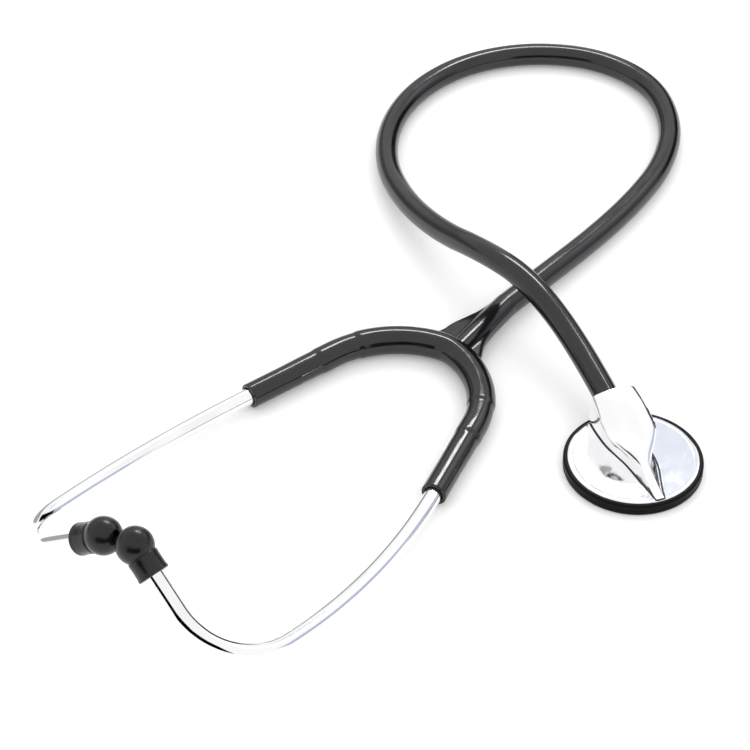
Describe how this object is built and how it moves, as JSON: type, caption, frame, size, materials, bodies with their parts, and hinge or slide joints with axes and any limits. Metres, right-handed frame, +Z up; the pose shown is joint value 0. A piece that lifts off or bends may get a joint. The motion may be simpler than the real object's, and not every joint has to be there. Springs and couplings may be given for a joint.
{
  "type": "stethoscope",
  "caption": "Single-head stethoscope: sprung Y yoke, bent metal ear tubes with soft eartips, one-bore tubing laid in a loop, and a steel chestpiece with a diaphragm.",
  "frame": {"origin": "on the surface the stethoscope lies on, under the middle of the hard parts (headset and chestpiece, without the tubing)", "axes": "+Z up; +X from the eartips towards the yoke and the tubing loop; +Y towards the left ear tube, away from the chestpiece"},
  "size_m": [0.3974, 0.2337, 0.0573],
  "materials": {
    "yoke_vinyl": "semi-gloss moulded vinyl",
    "tubing_vinyl": "semi-gloss extruded vinyl",
    "eartip_rubber": "satin soft rubber",
    "rim_rubber": "satin rubber",
    "seal_rubber": "satin rubber",
    "ear_tube_chrome": "bright polished plating",
    "polished_steel": "mirror polished steel",
    "stem_steel": "turned steel",
    "spring_steel": "rolled spring steel",
    "ferrule_brass": "turned brass",
    "insert_plastic": "moulded plastic",
    "diaphragm_film": "thin smooth laminate"
  },
  "bodies": {
    "root": {"yoke_crotch": "yoke_vinyl", "leaf_spring": "spring_steel", "acoustic_tubing": "tubing_vinyl", "swivel_stem": "stem_steel", "stem_seal": "seal_rubber"},
    "left_arm": {"left_yoke_arm": "yoke_vinyl", "left_spring_clip": "spring_steel", "left_ferrule": "ferrule_brass"},
    "left_ear_tube": {"left_ear_tube": "ear_tube_chrome", "left_ear_tube_nipple": "stem_steel"},
    "left_eartip": {"left_eartip_insert": "insert_plastic", "left_eartip": "eartip_rubber"},
    "right_arm": {"right_yoke_arm": "yoke_vinyl", "right_spring_clip": "spring_steel", "right_ferrule": "ferrule_brass"},
    "right_ear_tube": {"right_ear_tube": "ear_tube_chrome", "right_ear_tube_nipple": "stem_steel"},
    "right_eartip": {"right_eartip_insert": "insert_plastic", "right_eartip": "eartip_rubber"},
    "chestpiece": {"chestpiece_body": "polished_steel", "chestpiece_rim": "rim_rubber", "diaphragm_surround": "rim_rubber"},
    "diaphragm": {"diaphragm": "diaphragm_film"}
  },
  "joints": [
    {"name": "left_arm_spread", "type": "hinge", "parent": "root", "child": "left_arm", "pos_m": [0.07465, 0.04223, 0.0055], "axis": [0, 0, -1], "range_deg": [0, 16], "stiffness_Nm_per_rad": 1.5, "deforming": ["leaf_spring"]},
    {"name": "left_ear_tube_turn", "type": "hinge", "parent": "left_arm", "child": "left_ear_tube", "pos_m": [0.01082, 0.07225, 0.0055], "axis": [-0.9681, 0.2504, 0], "range_deg": [0, 30]},
    {"name": "left_eartip_turn", "type": "hinge", "parent": "left_ear_tube", "child": "left_eartip", "pos_m": [-0.10923, 0.0562, 0.03296], "axis": [0.1199, -0.8262, 0.5505], "continuous": true},
    {"name": "right_arm_spread", "type": "hinge", "parent": "root", "child": "right_arm", "pos_m": [0.07465, 0.01577, 0.0055], "axis": [0, 0, 1], "range_deg": [0, 16], "stiffness_Nm_per_rad": 1.5, "deforming": ["leaf_spring"]},
    {"name": "right_ear_tube_turn", "type": "hinge", "parent": "right_arm", "child": "right_ear_tube", "pos_m": [0.01082, -0.01425, 0.0055], "axis": [0.9681, 0.2504, 0], "range_deg": [0, 30]},
    {"name": "right_eartip_turn", "type": "hinge", "parent": "right_ear_tube", "child": "right_eartip", "pos_m": [-0.10885, 0.00035, 0.03531], "axis": [0.1274, 0.7973, 0.59], "continuous": true},
    {"name": "chestpiece_swivel", "type": "hinge", "parent": "root", "child": "chestpiece", "pos_m": [0.08328, -0.04229, 0.0126], "axis": [0.5321, 0.8352, 0.1392], "range_deg": [-30, 30]},
    {"name": "diaphragm_press", "type": "slide", "parent": "chestpiece", "child": "diaphragm", "axis": [0, 0, 1], "range_m": [0, 0.0004], "stiffness_N_per_m": 4000}
  ],
  "couplings": [
    {"joint": "right_arm_spread", "follows": "left_arm_spread", "ratio": 1}
  ]
}
